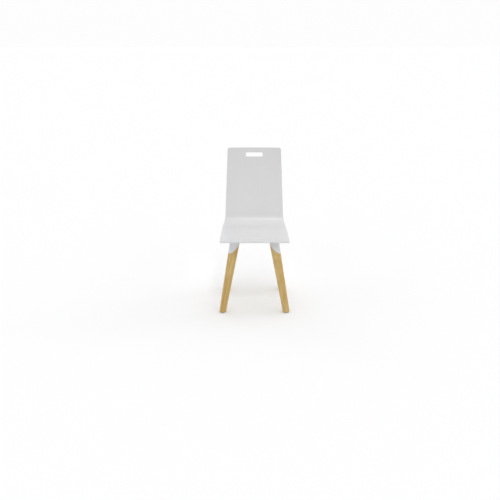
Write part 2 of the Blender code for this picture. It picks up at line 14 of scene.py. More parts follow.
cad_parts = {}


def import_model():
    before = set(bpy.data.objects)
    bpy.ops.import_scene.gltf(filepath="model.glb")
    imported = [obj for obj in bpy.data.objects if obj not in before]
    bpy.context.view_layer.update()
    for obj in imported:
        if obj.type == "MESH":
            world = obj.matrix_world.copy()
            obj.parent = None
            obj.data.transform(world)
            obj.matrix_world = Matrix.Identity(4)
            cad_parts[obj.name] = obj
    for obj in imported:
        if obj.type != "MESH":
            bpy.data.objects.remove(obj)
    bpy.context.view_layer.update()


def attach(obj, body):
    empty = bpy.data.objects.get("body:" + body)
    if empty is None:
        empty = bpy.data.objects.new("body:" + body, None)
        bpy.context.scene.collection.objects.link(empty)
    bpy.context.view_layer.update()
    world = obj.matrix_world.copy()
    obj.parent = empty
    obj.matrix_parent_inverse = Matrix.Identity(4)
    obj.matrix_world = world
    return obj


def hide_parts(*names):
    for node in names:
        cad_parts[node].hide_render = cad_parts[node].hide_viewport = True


# -------- sizes shared with the model

# The shell's side view and outline
SEAT_HEIGHT = 0.456
SEAT_LENGTH = 0.340
SEAT_SLOPE = radians(1.7)
BEND_RADIUS = 0.075
BACK_LEAN = radians(12.0)
BACK_LENGTH = 0.4225
SHELL_THICKNESS = 0.009
SEAT_WIDTH = 0.409
SEAT_TAPER = 0.010
BEND_TAPER = 0.0325
BACK_TAPER = 0.0306
FRONT_CORNER_RADIUS = 0.008
TOP_CORNER_RADIUS = 0.012
RIM_ROUND = 0.0015
SLOT_WIDTH = 0.105
SLOT_HEIGHT = 0.0255
SLOT_BELOW_TOP = 0.031
SLOT_CORNER_RADIUS = 0.006

# Legs and knuckles
FRONT_LEG_SETBACK = 0.1009
REAR_LEG_BEFORE_BEND = 0.0100
FRONT_LEG_FROM_SIDE = 0.0875
REAR_LEG_INSET = 0.0067
LEG_SPLAY = radians(10.1)
FOOT_DIAMETER = 0.040
CONE_TOP_DIAMETER = 0.059
FOOT_ROUND = 0.003
JOINT_BELOW_SEAT = 0.067
JOINT_TILT = radians(40.3)
JOINT_TURN = radians(58.0)
SPIGOT_DIAMETER = 0.024
SPIGOT_LENGTH = 0.060
LEG_SCREW_BELOW_JOINT = 0.034

# Frame under the seat
RAIL_WIDTH = 0.030
RAIL_HEIGHT = 0.015
RAIL_WALL = 0.0015
RAIL_OVERHANG = 0.026
CROSS_RAIL_FROM_LEG = 0.050
END_CAP_PLATE = 0.002
END_CAP_TO_SCREW = 0.002

# Fasteners and feet
SPACER_DIAMETER = 0.020
SPACER_THICKNESS = 0.0015
SEAT_SCREW_FROM_SIDE_RAIL = 0.047
INSERT_DIAMETER = 0.009
INSERT_COVER = 0.0022
KNUCKLE_SCREW_SPACING = 0.024
KNUCKLE_SCREW_LENGTH = 0.012
SCREW_DIAMETER = 0.006
SCREW_HEAD_DIAMETER = 0.0105
SCREW_HEAD_HEIGHT = 0.0033
HEX_SOCKET_WIDTH = 0.004
HEX_SOCKET_DEPTH = 0.0018
GLIDE_DIAMETER = 0.027
GLIDE_THICKNESS = 0.004
GLIDE_ROUND = 0.001
NAIL_DIAMETER = 0.003
NAIL_HEAD_DIAMETER = 0.007
NAIL_HEAD_THICKNESS = 0.001
NAIL_LENGTH = 0.020
GAP = 0.0003
HOLE_ALLOWANCE = 0.0006
DRILL_PAST = 0.001

# -------- sizes of the fine surfaces

SHARP_ANGLE = radians(35)      # edges that turn by more than this are shaded sharp
TOP_CROWN = 0.0015             # the back's top edge is this much lower at its corners
PLY_COUNT = 7
GLUE_LINE_DEPTH = 0.00005      # of the hairline that shows through the lacquer at each glue line
GLUE_LINE_WIDTH = 0.00025
SLOT_MARGIN = 0.006            # plain sheet around the slot, filled on its own
INNER_COLUMNS = 8              # of faces, as wide together as the slot and its margins
OUTER_COLUMNS = 6              # on each side of those
RIM_STEPS = 5                  # in a quarter turn of the shell's rounded edges
OUTER_CORNER_STEPS = 10
SLOT_CORNER_STEPS = 8
SEAT_STEPS = 34                # rows of faces along each stretch of the sheet
BEND_STEPS = 56
BACK_STEPS = 34
WINDOW_STEPS = 3

CONE_SIDES = 96
CONE_STEPS = 24
EDGE_STEPS = 5                 # in a quarter turn of other rounded edges
JOINT_ROUND = 0.0006           # on both edges of the slanting joint
KNUCKLE_TOP_ROUND = 0.001
SPIGOT_CHAMFER = 0.00072
MOUTH_CHAMFER = 0.0006         # where the leg screw's hole breaks the surface

RAIL_OUTER_RADIUS = 0.0022
RAIL_INNER_RADIUS = 0.0008
RAIL_CORNER_STEPS = 6
CAP_DOME = 0.0006              # an end cap's rounded edge starts this far below the model's face
CAP_DOME_LIFT = 0.0002         # of the dome's rings over that edge
CAP_DOME_SHARES = (0.25, 0.5, 0.75)    # of the plate's size, where the dome's rings lie
CAP_RIBS = 4
CAP_RIB_DEPTH = 0.0004
CAP_RIB_PROFILE = ((0.2, 0.0), (0.45, 1.0), (0.8, 1.0), (1.0, 0.0))    # (share of a rib's step, sunk)
WELD_RADIUS = 0.0017
WELD_RIPPLE = 0.0015           # from one ripple of a weld bead to the next
WELD_RIPPLE_HEIGHT = 0.00022
WELD_RIPPLE_STEPS = 6
WELD_END = 0.02                # square of the share of its radius that a bead has at its very ends
WELD_SIDES = 12

SCREW_SIDES = 48
DOME_STEPS = 7                 # from a screw head's rim to its flat top
THREAD_PITCH = 0.001
THREAD_DEPTH = 0.00045
SMALL_ROUND = 0.0002           # on the edges of screws, nails and their seats
SMALL_EDGE_STEPS = 3           # in a quarter turn of a spacer's or a nail's edge
BARB_DEPTH = 0.0003
BARB_COUNT = 4                 # rings round an insert
RING_SIDES = 64

# -------- camera and light

CAMERA_LENS = 50.0             # millimetres, on a 36 mm wide frame
CAMERA_BEFORE_SEAT = 3.852     # from the seat's front edge
CAMERA_HEIGHT = 1.694
CAMERA_TO_LEFT = 0.027
CAMERA_PITCH = radians(18.5)   # below level
FLOOR_HALF_SIZE = 40.0

# The studio's colour, up from the horizon, as shares of its brightness: (elevation, colour)
SKY_BRIGHTNESS = 1.53
SKY = (
    (0.0, (0.644, 0.644, 0.644)),
    (radians(18), (0.644, 0.644, 0.644)),
    (radians(34), (0.476, 0.484, 0.494)),
    (radians(60), (0.476, 0.484, 0.494)),
    (radians(85), (0.955, 0.970, 0.985)),
)

# Soft lamps: (name, azimuth, elevation, spread, strength), in degrees. Azimuth 0 is in front of the
# chair and 90 is at its right
LAMP_COLOUR = (1.0, 0.99, 0.975)
LAMPS = (
    ("right lamp", 90, 25, 40, 0.21),
    ("small right lamp", 110, 25, 20, 0.18),
    ("right back lamp", 135, 45, 40, 0.12),
    ("right front lamp", 45, 45, 40, 0.22),
    ("left front lamp", -30, 45, 40, 0.15),
    ("left lamp", -90, 25, 40, 0.18),
    ("left back lamp", -145, 37, 20, 0.10),
    ("top lamp", 180, 70, 40, 0.08),
)

# A spotlight that lifts the bend and the seat, and fades out towards the top of the back
SPOT_PLACE = (0.25, -1.5, 2.6)
SPOT_TARGET = (0.0, 0.04, 0.46)
SPOT_POWER = 64.0
SPOT_CONE = radians(19)
SPOT_RADIUS = 0.25

# -------- colours

SHELL_WHITE = (0.616, 0.614, 0.615)
SHELL_SHADE = (0.598, 0.596, 0.598)
SHELL_VEIN = (0.580, 0.578, 0.580)
COAT_WHITE = (0.680, 0.682, 0.692)
CAST_WHITE = (0.640, 0.643, 0.655)
PLASTIC_WHITE = (0.720, 0.720, 0.728)
SPACER_GREY = (0.55, 0.55, 0.55)
GLIDE_GREY = (0.42, 0.40, 0.37)
GLIDE_SCUFF = (0.52, 0.50, 0.47)
FLOOR_WHITE = (0.902, 0.897, 0.893)
FLOOR_SHADE = (0.898, 0.893, 0.889)
BEECH_LIGHT = (0.620, 0.455, 0.200)
BEECH_DARK = (0.505, 0.330, 0.100)
BEECH_STREAK = (0.400, 0.250, 0.068)
BEECH_RING = (0.390, 0.242, 0.066)
BEECH_FLECK = (0.290, 0.170, 0.055)
ZINC_LIGHT = (0.66, 0.67, 0.69)
ZINC_DARK = (0.56, 0.57, 0.60)
STEEL_LIGHT = (0.60, 0.60, 0.61)
STEEL_DARK = (0.50, 0.50, 0.51)
BRASS_LIGHT = (0.72, 0.56, 0.28)
BRASS_DARK = (0.62, 0.46, 0.21)
CLOUD_SHADE = 0.975            # the darkest clouds in a coat, as a share of its colour

RING_SPACING = 0.0034          # between the beech's growth rings
RING_WANDER = 0.012            # how far the rings stray along a leg

# -------- derived sizes

BEND_TURN = pi / 2 - BACK_LEAN + SEAT_SLOPE
BEND_LENGTH = BEND_RADIUS * BEND_TURN
SHELL_LENGTH = SEAT_LENGTH + BEND_LENGTH + BACK_LENGTH
BEND_DEPTH = BEND_RADIUS * (sin(BEND_TURN - SEAT_SLOPE) + sin(SEAT_SLOPE))
OVERALL_DEPTH = (SEAT_LENGTH * cos(SEAT_SLOPE) + BEND_DEPTH + BACK_LENGTH * sin(BACK_LEAN)
                 + SHELL_THICKNESS * cos(BACK_LEAN))
FRONT_Y = -OVERALL_DEPTH / 2
RAIL_TOP_DROP = SPACER_THICKNESS + 2 * GAP
RAIL_BOTTOM_DROP = RAIL_TOP_DROP + RAIL_HEIGHT
KNUCKLE_TOP_DROP = RAIL_BOTTOM_DROP + GAP
FRONT_LEG_X = SEAT_WIDTH / 2 - FRONT_LEG_FROM_SIDE
REAR_LEG_X = FRONT_LEG_X - REAR_LEG_INSET
REAR_LEG_SETBACK = SEAT_LENGTH - REAR_LEG_BEFORE_BEND
AXIS_PER_RISE = hypot(1.0, tan(LEG_SPLAY), tan(LEG_SPLAY))
JOINT_ALONG = (SEAT_HEIGHT - JOINT_BELOW_SEAT) * AXIS_PER_RISE
LEG_SCREW_ALONG = JOINT_ALONG - LEG_SCREW_BELOW_JOINT
CONE_TOP_ALONG = (SEAT_HEIGHT - SHELL_THICKNESS - KNUCKLE_TOP_DROP) * AXIS_PER_RISE
CONE_TAPER = (CONE_TOP_DIAMETER - FOOT_DIAMETER) / 2 / CONE_TOP_ALONG
SCREW_HOLE_DIAMETER = SCREW_DIAMETER + HOLE_ALLOWANCE
END_CAP_PLUG = (RAIL_OVERHANG - KNUCKLE_SCREW_SPACING / 2 - SCREW_HEAD_DIAMETER / 2
                - END_CAP_TO_SCREW)
INSERT_LENGTH = SHELL_THICKNESS - INSERT_COVER - 2 * GAP
SEAT_SCREW_LENGTH = RAIL_BOTTOM_DROP + INSERT_LENGTH
WINDOW_HALF_WIDTH = SLOT_WIDTH / 2 + SLOT_MARGIN
SLOT_TOP = SHELL_LENGTH - SLOT_BELOW_TOP
SLOT_MIDDLE = SLOT_TOP - SLOT_HEIGHT / 2
WINDOW_LOW = SLOT_TOP - SLOT_HEIGHT - SLOT_MARGIN
WINDOW_HIGH = SLOT_TOP + SLOT_MARGIN

ENDS = (("front", -1), ("rear", 1))
SIDES = (("left", -1), ("right", 1))
CORNERS = [(f"{end_name}_{side_name}", end, side)
           for end_name, end in ENDS for side_name, side in SIDES]


# -------- places, as in the model

def shell_matrix(along):
    """The frame on the sitting face: X across, Y along the sheet, Z out of the face."""
    turn = min(max(along - SEAT_LENGTH, 0.0) / BEND_RADIUS, BEND_TURN)
    flat = min(along, SEAT_LENGTH)
    straight = max(along - SEAT_LENGTH - BEND_LENGTH, 0.0)
    heading = turn - SEAT_SLOPE
    y = (flat * cos(SEAT_SLOPE) + BEND_RADIUS * (sin(heading) + sin(SEAT_SLOPE))
         + straight * sin(BACK_LEAN))
    z = (-flat * sin(SEAT_SLOPE) + BEND_RADIUS * (cos(SEAT_SLOPE) - cos(heading))
         + straight * cos(BACK_LEAN))
    place = Matrix.Translation((0.0, FRONT_Y + y, SEAT_HEIGHT + z))
    return place @ Matrix.Rotation(heading, 4, "X")


UNDERSIDE = shell_matrix(0.0) @ Matrix.Translation((0.0, 0.0, -SHELL_THICKNESS))


def leg_top(end, side):
    """Where a leg's axis meets the underside of the rails, seen from the seat's underside."""
    x, y = (FRONT_LEG_X, FRONT_LEG_SETBACK) if end < 0 else (REAR_LEG_X, REAR_LEG_SETBACK)
    return Vector((side * x, y, -RAIL_BOTTOM_DROP))


def leg_direction(end, side):
    return Vector((-side * tan(LEG_SPLAY), -end * tan(LEG_SPLAY), 1.0)).normalized()


def foot_centre(end, side):
    """The point where a leg's axis meets the floor."""
    top = UNDERSIDE @ leg_top(end, side)
    down = leg_direction(end, side)
    return top - down * (top.z / down.z)


def leg_matrix(end, side):
    """A leg's frame at the floor: Z up the leg, X towards the chair's middle."""
    z_axis = leg_direction(end, side)
    y_axis = z_axis.cross(Vector((-side, -end, 0.0))).normalized()
    x_axis = y_axis.cross(z_axis)
    rotation = Matrix((x_axis, y_axis, z_axis)).transposed()
    return Matrix.Translation(foot_centre(end, side)) @ rotation.to_4x4()


def cone_radius(along):
    """The radius that leg and knuckle share, at a distance along the leg from the floor."""
    return FOOT_DIAMETER / 2 + CONE_TAPER * along


def joint_matrix(end, side):
    """The slanting joint's frame: its centre on the leg's axis and Z square to the joint."""
    centre = leg_matrix(end, side) @ Vector((0.0, 0.0, JOINT_ALONG))
    lowest = Vector((side * sin(JOINT_TURN), end * cos(JOINT_TURN), 0.0))
    normal = lowest * sin(JOINT_TILT) + Vector((0.0, 0.0, cos(JOINT_TILT)))
    return Matrix.Translation(centre) @ normal.to_track_quat("Z", "Y").to_matrix().to_4x4()


def glide_centre(end, side):
    """The middle of the sawn foot, brought down to the floor."""
    axis = leg_direction(end, side)
    centre = foot_centre(end, side) + axis * (GLIDE_THICKNESS / axis.z)
    centre.z = 0.0
    return centre


def leg_screw_matrix():
    """In a leg's frame, the screw's head bears on wood and its shank points at the axis."""
    place = Matrix.Translation((leg_screw_length() - 2 * GAP, 0.0, LEG_SCREW_ALONG))
    return place @ Matrix.Rotation(-pi / 2, 4, "Y")


def leg_screw_length():
    return cone_radius(LEG_SCREW_ALONG) - SCREW_HEAD_HEIGHT


def side_rail_matrix(side):
    """A side rail's frame under the seat: Y along the rail from front to rear, Z square to the seat."""
    front = leg_top(-1, side)
    rear = leg_top(1, side)
    middle = (front + rear) / 2 + Vector((0.0, 0.0, RAIL_HEIGHT / 2))
    heading = (rear - front).to_2d().angle_signed(Vector((0.0, 1.0)))
    return Matrix.Translation(middle) @ Matrix.Rotation(heading, 4, "Z")


def leg_span():
    """Front leg to rear leg, along a side rail."""
    return (leg_top(1, 1) - leg_top(-1, 1)).length


def cross_rail_setback(end):
    """From the seat's front edge to a cross rail's centre line."""
    leg_setback = FRONT_LEG_SETBACK if end < 0 else REAR_LEG_SETBACK
    return leg_setback - end * CROSS_RAIL_FROM_LEG


def seat_screw_matrix(end, side):
    across = side * (REAR_LEG_X - SEAT_SCREW_FROM_SIDE_RAIL)
    return Matrix.Translation((across, cross_rail_setback(end), 0.0))


# -------- mesh helpers

def mesh_from(bm):
    """Weld, turn the faces outwards, and shade round."""
    bmesh.ops.remove_doubles(bm, verts=bm.verts, dist=1e-7)
    bmesh.ops.recalc_face_normals(bm, faces=bm.faces)
    mesh = bpy.data.meshes.new("fine")
    bm.to_mesh(mesh)
    bm.free()
    mesh.shade_smooth()
    mesh.set_sharp_from_angle(angle=SHARP_ANGLE)
    return mesh


def loft(rings, closed=False):
    """A skin over rings of as many points each, with flat ends, or closed from last ring to first."""
    bm = bmesh.new()
    rows = [[bm.verts.new(point) for point in ring] for ring in rings]
    pairs = list(zip(rows, rows[1:]))
    if closed:
        pairs.append((rows[-1], rows[0]))
    else:
        bm.faces.new(rows[0])
        bm.faces.new(rows[-1])
    for low, high in pairs:
        for index in range(len(low)):
            after = (index + 1) % len(low)
            bm.faces.new((low[index], low[after], high[after], high[index]))
    return mesh_from(bm)


def circle(radius, height, sides):
    """A level ring about Z. The radius is a number or a function of the angle."""
    points = []
    for index in range(sides):
        angle = 2 * pi * index / sides
        reach = radius(angle) if callable(radius) else radius
        points.append(Vector((reach * cos(angle), reach * sin(angle), height)))
    return points


def turned(profile, sides, closed=False):
    """A profile of (radius, height) points turned about Z."""
    return loft([circle(radius, height, sides) for radius, height in profile], closed)


def quarter_turn(steps=EDGE_STEPS):
    """(1 - cos, 1 - sin) along a quarter turn: from (0, 1) to (1, 0)."""
    return [(1 - cos(pi / 2 * step / steps), 1 - sin(pi / 2 * step / steps)) for step in range(steps + 1)]


def hexagon(width):
    """A hexagon's reach from its centre at each angle, from its width across flats."""
    return lambda angle: width / 2 / cos((angle + pi / 6) % (pi / 3) - pi / 6)


def rounded_box(half_width, half_height, radius, steps, middle=0.0):
    """(across, up) points round a rectangle with round corners. The middle is its centre's height."""
    points = []
    for corner, (x_sign, y_sign) in enumerate(((1, 1), (-1, 1), (-1, -1), (1, -1))):
        for step in range(steps + 1):
            angle = pi / 2 * (corner + step / steps)
            points.append((x_sign * (half_width - radius) + radius * cos(angle),
                           middle + y_sign * (half_height - radius) + radius * sin(angle)))
    return points


def box_ring(width, height, radius, y):
    """A rectangle with round corners, square to Y."""
    return [Vector((x, y, z)) for x, z in rounded_box(width / 2, height / 2, radius, RAIL_CORNER_STEPS)]


def new_object(name, data):
    made = bpy.data.objects.new(name, data)
    bpy.context.scene.collection.objects.link(made)
    return made


def add_piece(node, mesh, material, matrix=Matrix(), replaced=True):
    """A fine piece that stands for the model's node, or one that is new on the chair."""
    own_mesh = mesh.copy()
    own_mesh.transform(matrix)
    own_mesh.name = f"fine_{node}"
    own_mesh.materials.append(material)
    piece = new_object(own_mesh.name, own_mesh)
    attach(piece, "root")
    if replaced:
        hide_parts(node)
    return piece


def cut(piece, cutters):
    """Cut holes in a piece. Each cutter is a mesh and its place."""
    for mesh, matrix in cutters:
        cutter = new_object("cutter", mesh)
        cutter.matrix_world = matrix
        modifier = piece.modifiers.new("hole", "BOOLEAN")
        modifier.operation = "DIFFERENCE"
        modifier.solver = "EXACT"
        modifier.object = cutter
    bpy.context.view_layer.update()
    graph = bpy.context.evaluated_depsgraph_get()
    material = piece.data.materials[0]
    finished = bpy.data.meshes.new_from_object(piece.evaluated_get(graph))
    for modifier in list(piece.modifiers):
        bpy.data.objects.remove(modifier.object)
        piece.modifiers.remove(modifier)
    finished.materials.clear()
    finished.materials.append(material)
    finished.polygons.foreach_set("material_index", [0] * len(finished.polygons))
    finished.set_sharp_from_angle(angle=SHARP_ANGLE)
    piece.data = finished


def hole_mesh(diameter, bottom, top):
    return turned([(diameter / 2, bottom), (diameter / 2, top)], SCREW_SIDES)


# -------- shell

def hermite(t, start, start_slope, end, end_slope):
    """A cubic from start to end for t from 0 to 1, with the slopes given per unit of t."""
    return (start * (2 * t**3 - 3 * t**2 + 1) + start_slope * (t**3 - 2 * t**2 + t)
            + end * (3 * t**2 - 2 * t**3) + end_slope * (t**3 - t**2))


def sheet_width(along):
    """The width of the sheet at a distance along it from the seat's front edge."""
    rear_width = SEAT_WIDTH - SEAT_TAPER
    waist_width = rear_width - BEND_TAPER
    seat_slope = -2 * SEAT_TAPER / SEAT_LENGTH
    back_slope = -BACK_TAPER / BACK_LENGTH
    past_seat = along - SEAT_LENGTH
    if past_seat <= 0:
        return SEAT_WIDTH - SEAT_TAPER * (along / SEAT_LENGTH) ** 2
    if past_seat <= BEND_LENGTH:
        return hermite(past_seat / BEND_LENGTH, rear_width, seat_slope * BEND_LENGTH,
                       waist_width, back_slope * BEND_LENGTH)
    return waist_width + back_slope * (past_seat - BEND_LENGTH)


def sheet_rows():
    """Where the flat sheet's cross rows lie, inside its rounded rim."""
    bend_end = SEAT_LENGTH + BEND_LENGTH
    stops = (RIM_ROUND, SEAT_LENGTH, bend_end, WINDOW_LOW, WINDOW_HIGH, SHELL_LENGTH - RIM_ROUND)
    rows = []
    for start, end, steps in zip(stops, stops[1:], (SEAT_STEPS, BEND_STEPS, BACK_STEPS, WINDOW_STEPS, 1)):
        rows += [start + (end - start) * step / steps for step in range(steps)]
    return rows + [stops[-1]]


def column_x(column, along):
    """A column's place across the sheet: even steps at the slot, and even steps out from there."""
    inner = INNER_COLUMNS / 2
    from_middle = column - OUTER_COLUMNS - inner
    side = -1 if from_middle < 0 else 1
    outwards = abs(from_middle)
    if outwards <= inner:
        return side * WINDOW_HALF_WIDTH * outwards / inner
    edge = sheet_width(along) / 2 - RIM_ROUND
    share = (outwards - inner) / OUTER_COLUMNS
    return side * (WINDOW_HALF_WIDTH + (edge - WINDOW_HALF_WIDTH) * share)


def outward(vertex):
    """How far a rim vertex moves, and which way, for each metre that the rim grows in its plane."""
    normals = []
    for edge in vertex.link_edges:
        if edge.is_boundary:
            run = edge.verts[1].co - edge.verts[0].co
            normal = Vector((run.y, -run.x, 0.0)).normalized()
            inside = edge.link_faces[0].calc_center_median() - edge.verts[0].co
            normals.append(-normal if normal.dot(inside) > 0 else normal)
    mitre = (normals[0] + normals[1]).normalized()
    return mitre / max(mitre.dot(normals[0]), 0.5)


def rim_profile():
    """(reach, drop) from the sitting face to the other face, with a hairline at each inner glue line."""
    turn = [(RIM_ROUND * (1 - up), RIM_ROUND * across) for across, up in quarter_turn(RIM_STEPS)]
    ply = SHELL_THICKNESS / PLY_COUNT
    edge = []
    for line in range(2, PLY_COUNT - 1):
        edge += [(RIM_ROUND, line * ply - GLUE_LINE_WIDTH), (RIM_ROUND - GLUE_LINE_DEPTH, line * ply),
                 (RIM_ROUND, line * ply + GLUE_LINE_WIDTH)]
    back = [(reach, SHELL_THICKNESS - drop) for reach, drop in reversed(turn)]
    return turn + edge + back


def slot_outline():
    """The slot's edge at the sitting face, which is wider by the rounding of its rim."""
    outline = rounded_box(SLOT_WIDTH / 2 + RIM_ROUND, SLOT_HEIGHT / 2 + RIM_ROUND,
                          SLOT_CORNER_RADIUS + RIM_ROUND, SLOT_CORNER_STEPS, SLOT_MIDDLE)
    return [(across, along, 0.0) for across, along in outline]


def cut_slot(bm):
    """Take out the faces around the slot and fill up to the slot's outline."""
    window = [face for face in bm.faces
              if abs(face.calc_center_median().x) < WINDOW_HALF_WIDTH
              and WINDOW_LOW < face.calc_center_median().y < WINDOW_HIGH]
    around = [edge for edge in bm.edges if len({face in window for face in edge.link_faces}) == 2]
    bmesh.ops.delete(bm, geom=window, context="FACES")
    corners = [bm.verts.new(point) for point in slot_outline()]
    outline = [bm.edges.new((corners[index - 1], corners[index])) for index in range(len(corners))]
    bmesh.ops.triangle_fill(bm, use_beauty=True, edges=outline + around, normal=(0.0, 0.0, 1.0))


def flat_sheet():
    """The sitting face before bending: X across, Y along, with rounded corners and the slot."""
    rows = sheet_rows()
    columns = INNER_COLUMNS + 2 * OUTER_COLUMNS
    last = len(rows) - 1
    bm = bmesh.new()
    bmesh.ops.create_grid(bm, x_segments=columns, y_segments=last, size=1.0)
    corners = {RIM_ROUND: [], rows[-1]: []}
    for vertex in bm.verts:
        column = round((vertex.co.x + 1) / 2 * columns)
        along = rows[round((vertex.co.y + 1) / 2 * last)]
        if len(vertex.link_edges) == 2:
            corners[along].append(vertex)
        x = column_x(column, along)
        crown = TOP_CROWN * (2 * x / sheet_width(along)) ** 2 if along == rows[-1] else 0.0
        vertex.co = (x, along - crown, 0.0)
    for along, radius in ((RIM_ROUND, FRONT_CORNER_RADIUS), (rows[-1], TOP_CORNER_RADIUS)):
        bmesh.ops.bevel(bm, geom=corners[along], offset=radius - RIM_ROUND, segments=OUTER_CORNER_STEPS,
                        profile=0.5, affect="VERTICES")
    cut_slot(bm)
    return bm


def shell_mesh():
    """The flat sheet given its rim and its other face, then bent."""
    bm = flat_sheet()
    bmesh.ops.recalc_face_normals(bm, faces=bm.faces)
    rim = [edge for edge in bm.edges if edge.is_boundary]
    grow = bm.verts.layers.float_vector.new("grow")
    for vertex in bm.verts:
        if vertex.is_boundary:
            vertex[grow] = outward(vertex)
    other_face = bmesh.ops.duplicate(bm, geom=bm.verts[:] + bm.edges[:] + bm.faces[:])["geom"]
    for vertex in (item for item in other_face if isinstance(item, bmesh.types.BMVert)):
        vertex.co.z = -SHELL_THICKNESS
    profile = rim_profile()
    for (reach, drop), (next_reach, next_drop) in zip(profile, profile[1:]):
        made = bmesh.ops.extrude_edge_only(bm, edges=rim)["geom"]
        rim = [item for item in made if isinstance(item, bmesh.types.BMEdge) and item.is_boundary]
        for vertex in {vertex for edge in rim for vertex in edge.verts}:
            vertex.co += Vector(vertex[grow]) * (next_reach - reach)
            vertex.co.z -= next_drop - drop
    bmesh.ops.remove_doubles(bm, verts=bm.verts, dist=1e-5)
    for vertex in bm.verts:
        across, along, depth = vertex.co
        vertex.co = shell_matrix(along) @ Vector((across, 0.0, depth))
    # Extruding makes its faces in no fixed order, so they are sorted along a skew line
    skew = Vector((1.0, sqrt(2.0), sqrt(3.0)))
    bm.faces.sort(key=lambda face: face.calc_center_median().dot(skew))
    return mesh_from(bm)


def make_shell(material):
    shell = add_piece("seat_shell", shell_mesh(), material)
    pocket = hole_mesh(INSERT_DIAMETER + HOLE_ALLOWANCE, -DRILL_PAST, SHELL_THICKNESS - INSERT_COVER)
    cut(shell, [(pocket, UNDERSIDE @ seat_screw_matrix(end, side)) for _, end, side in CORNERS])


# -------- legs and knuckles

def slant_ring(radius, taper, plane):
    """Where a cone about Z, of this radius at Z = 0, meets a plane given as (point, normal)."""
    point, normal = plane
    ring = []
    for index in range(CONE_SIDES):
        angle = 2 * pi * index / CONE_SIDES
        out = Vector((cos(angle), sin(angle), 0.0))
        rise = Vector((0.0, 0.0, 1.0)) + out * taper
        along = (point - out * radius).dot(normal) / rise.dot(normal)
        ring.append(out * radius + rise * along)
    return ring


def seen_from(frame, place, level=0.0):
    """The plane Z = level of a place in the world, as (point, normal) in another frame."""
    to_frame = frame.inverted() @ place
    normal = to_frame.to_3x3() @ Vector((0.0, 0.0, 1.0))
    return to_frame @ Vector((0.0, 0.0, level)), normal.normalized()


def rounded_edge(ring, radius, inwards):
    """Rings that turn from a flat end onto a cone's side. Inwards is +1 if the side is above the end."""
    centre = sum(ring, Vector()) / len(ring)
    rings = []
    for out, rise in quarter_turn():
        turned_ring = []
        for edge in ring:
            to_middle = (centre - edge).normalized()
            up = Vector((edge.x * CONE_TAPER, edge.y * CONE_TAPER, edge.to_2d().length)).normalized()
            turned_ring.append(edge + to_middle * radius * rise + up * inwards * radius * out)
        rings.append(turned_ring)
    return rings


def between(low, high, steps):
    """Even rings from one ring up to another, without those two."""
    return [[start.lerp(end, step / steps) for start, end in zip(low, high)] for step in range(1, steps)]


def tapered_side(low_plane, high_plane, low_round, high_round):
    """The rings of a cone between two planes, with both its edges rounded."""
    radius = FOOT_DIAMETER / 2
    low = rounded_edge(slant_ring(radius, CONE_TAPER, low_plane), low_round, 1)
    high = rounded_edge(slant_ring(radius, CONE_TAPER, high_plane), high_round, -1)
    high.reverse()
    return low + between(low[-1], high[0], CONE_STEPS) + high


def make_leg(name, end, side, material):
    frame = leg_matrix(end, side)
    sawn_foot = seen_from(frame, Matrix.Translation((0.0, 0.0, GLIDE_THICKNESS + GAP)))
    joint = seen_from(frame, joint_matrix(end, side), -GAP / 2)
    bore_radius = SPIGOT_DIAMETER / 2 + GAP
    bore_bottom = JOINT_ALONG - SPIGOT_LENGTH - 2 * GAP
    rings = tapered_side(sawn_foot, joint, FOOT_ROUND, JOINT_ROUND)
    rings += [slant_ring(bore_radius, 0.0, joint), circle(bore_radius, bore_bottom, CONE_SIDES)]
    leg = add_piece(f"{name}_leg", loft(rings), material, frame)
    screw = frame @ leg_screw_matrix()
    head_radius = (SCREW_HEAD_DIAMETER + HOLE_ALLOWANCE) / 2
    mouth = -SCREW_HEAD_HEIGHT - 2 * GAP
    head_hole = turned([
        (head_radius, GAP),
        (head_radius, mouth + MOUTH_CHAMFER / 2),
        (head_radius + 2 * MOUTH_CHAMFER, mouth - 1.5 * MOUTH_CHAMFER),
        (head_radius + 2 * MOUTH_CHAMFER, 2 * mouth),
    ], SCREW_SIDES)
    nail_hole = hole_mesh(NAIL_DIAMETER + 2 * GAP, 0.0, NAIL_LENGTH + DRILL_PAST)
    cut(leg, [
        (hole_mesh(SCREW_HOLE_DIAMETER, -DRILL_PAST, leg_screw_length()), screw),
        (head_hole, screw),
        (nail_hole, Matrix.Translation(glide_centre(end, side))),
    ])
    mark_grain(leg.data, frame)


def mark_grain(mesh, frame):
    """Store each point's place in the leg's own frame, for the grain to run along the leg."""
    to_leg = frame.inverted()
    places = mesh.attributes.new("grain", "FLOAT_VECTOR", "POINT")
    for vertex, place in zip(mesh.vertices, places.data):
        place.vector = to_leg @ vertex.co


def make_knuckle(name, end, side, material):
    frame = leg_matrix(end, side)
    joint = seen_from(frame, joint_matrix(end, side), GAP / 2)
    under_rail = seen_from(frame, UNDERSIDE, -KNUCKLE_TOP_DROP)
    spigot_radius = SPIGOT_DIAMETER / 2
    spigot_bottom = JOINT_ALONG - SPIGOT_LENGTH
    spigot = [circle(spigot_radius - SPIGOT_CHAMFER, spigot_bottom, CONE_SIDES),
              circle(spigot_radius, spigot_bottom + SPIGOT_CHAMFER, CONE_SIDES),
              slant_ring(spigot_radius, 0.0, joint)]
    rings = spigot + tapered_side(joint, under_rail, JOINT_ROUND, KNUCKLE_TOP_ROUND)
    knuckle = add_piece(f"{name}_knuckle", loft(rings), material, frame)
    threaded = hole_mesh(SCREW_HOLE_DIAMETER, -KNUCKLE_SCREW_LENGTH - DRILL_PAST, RAIL_WALL)
    holes = [(threaded, UNDERSIDE @ knuckle_screw_place(end, side, step)) for step in (-1, 1)]
    spigot_hole = hole_mesh(SCREW_HOLE_DIAMETER, -DRILL_PAST, leg_screw_length() + DRILL_PAST)
    cut(knuckle, holes + [(spigot_hole, frame @ leg_screw_matrix())])


# -------- frame under the seat

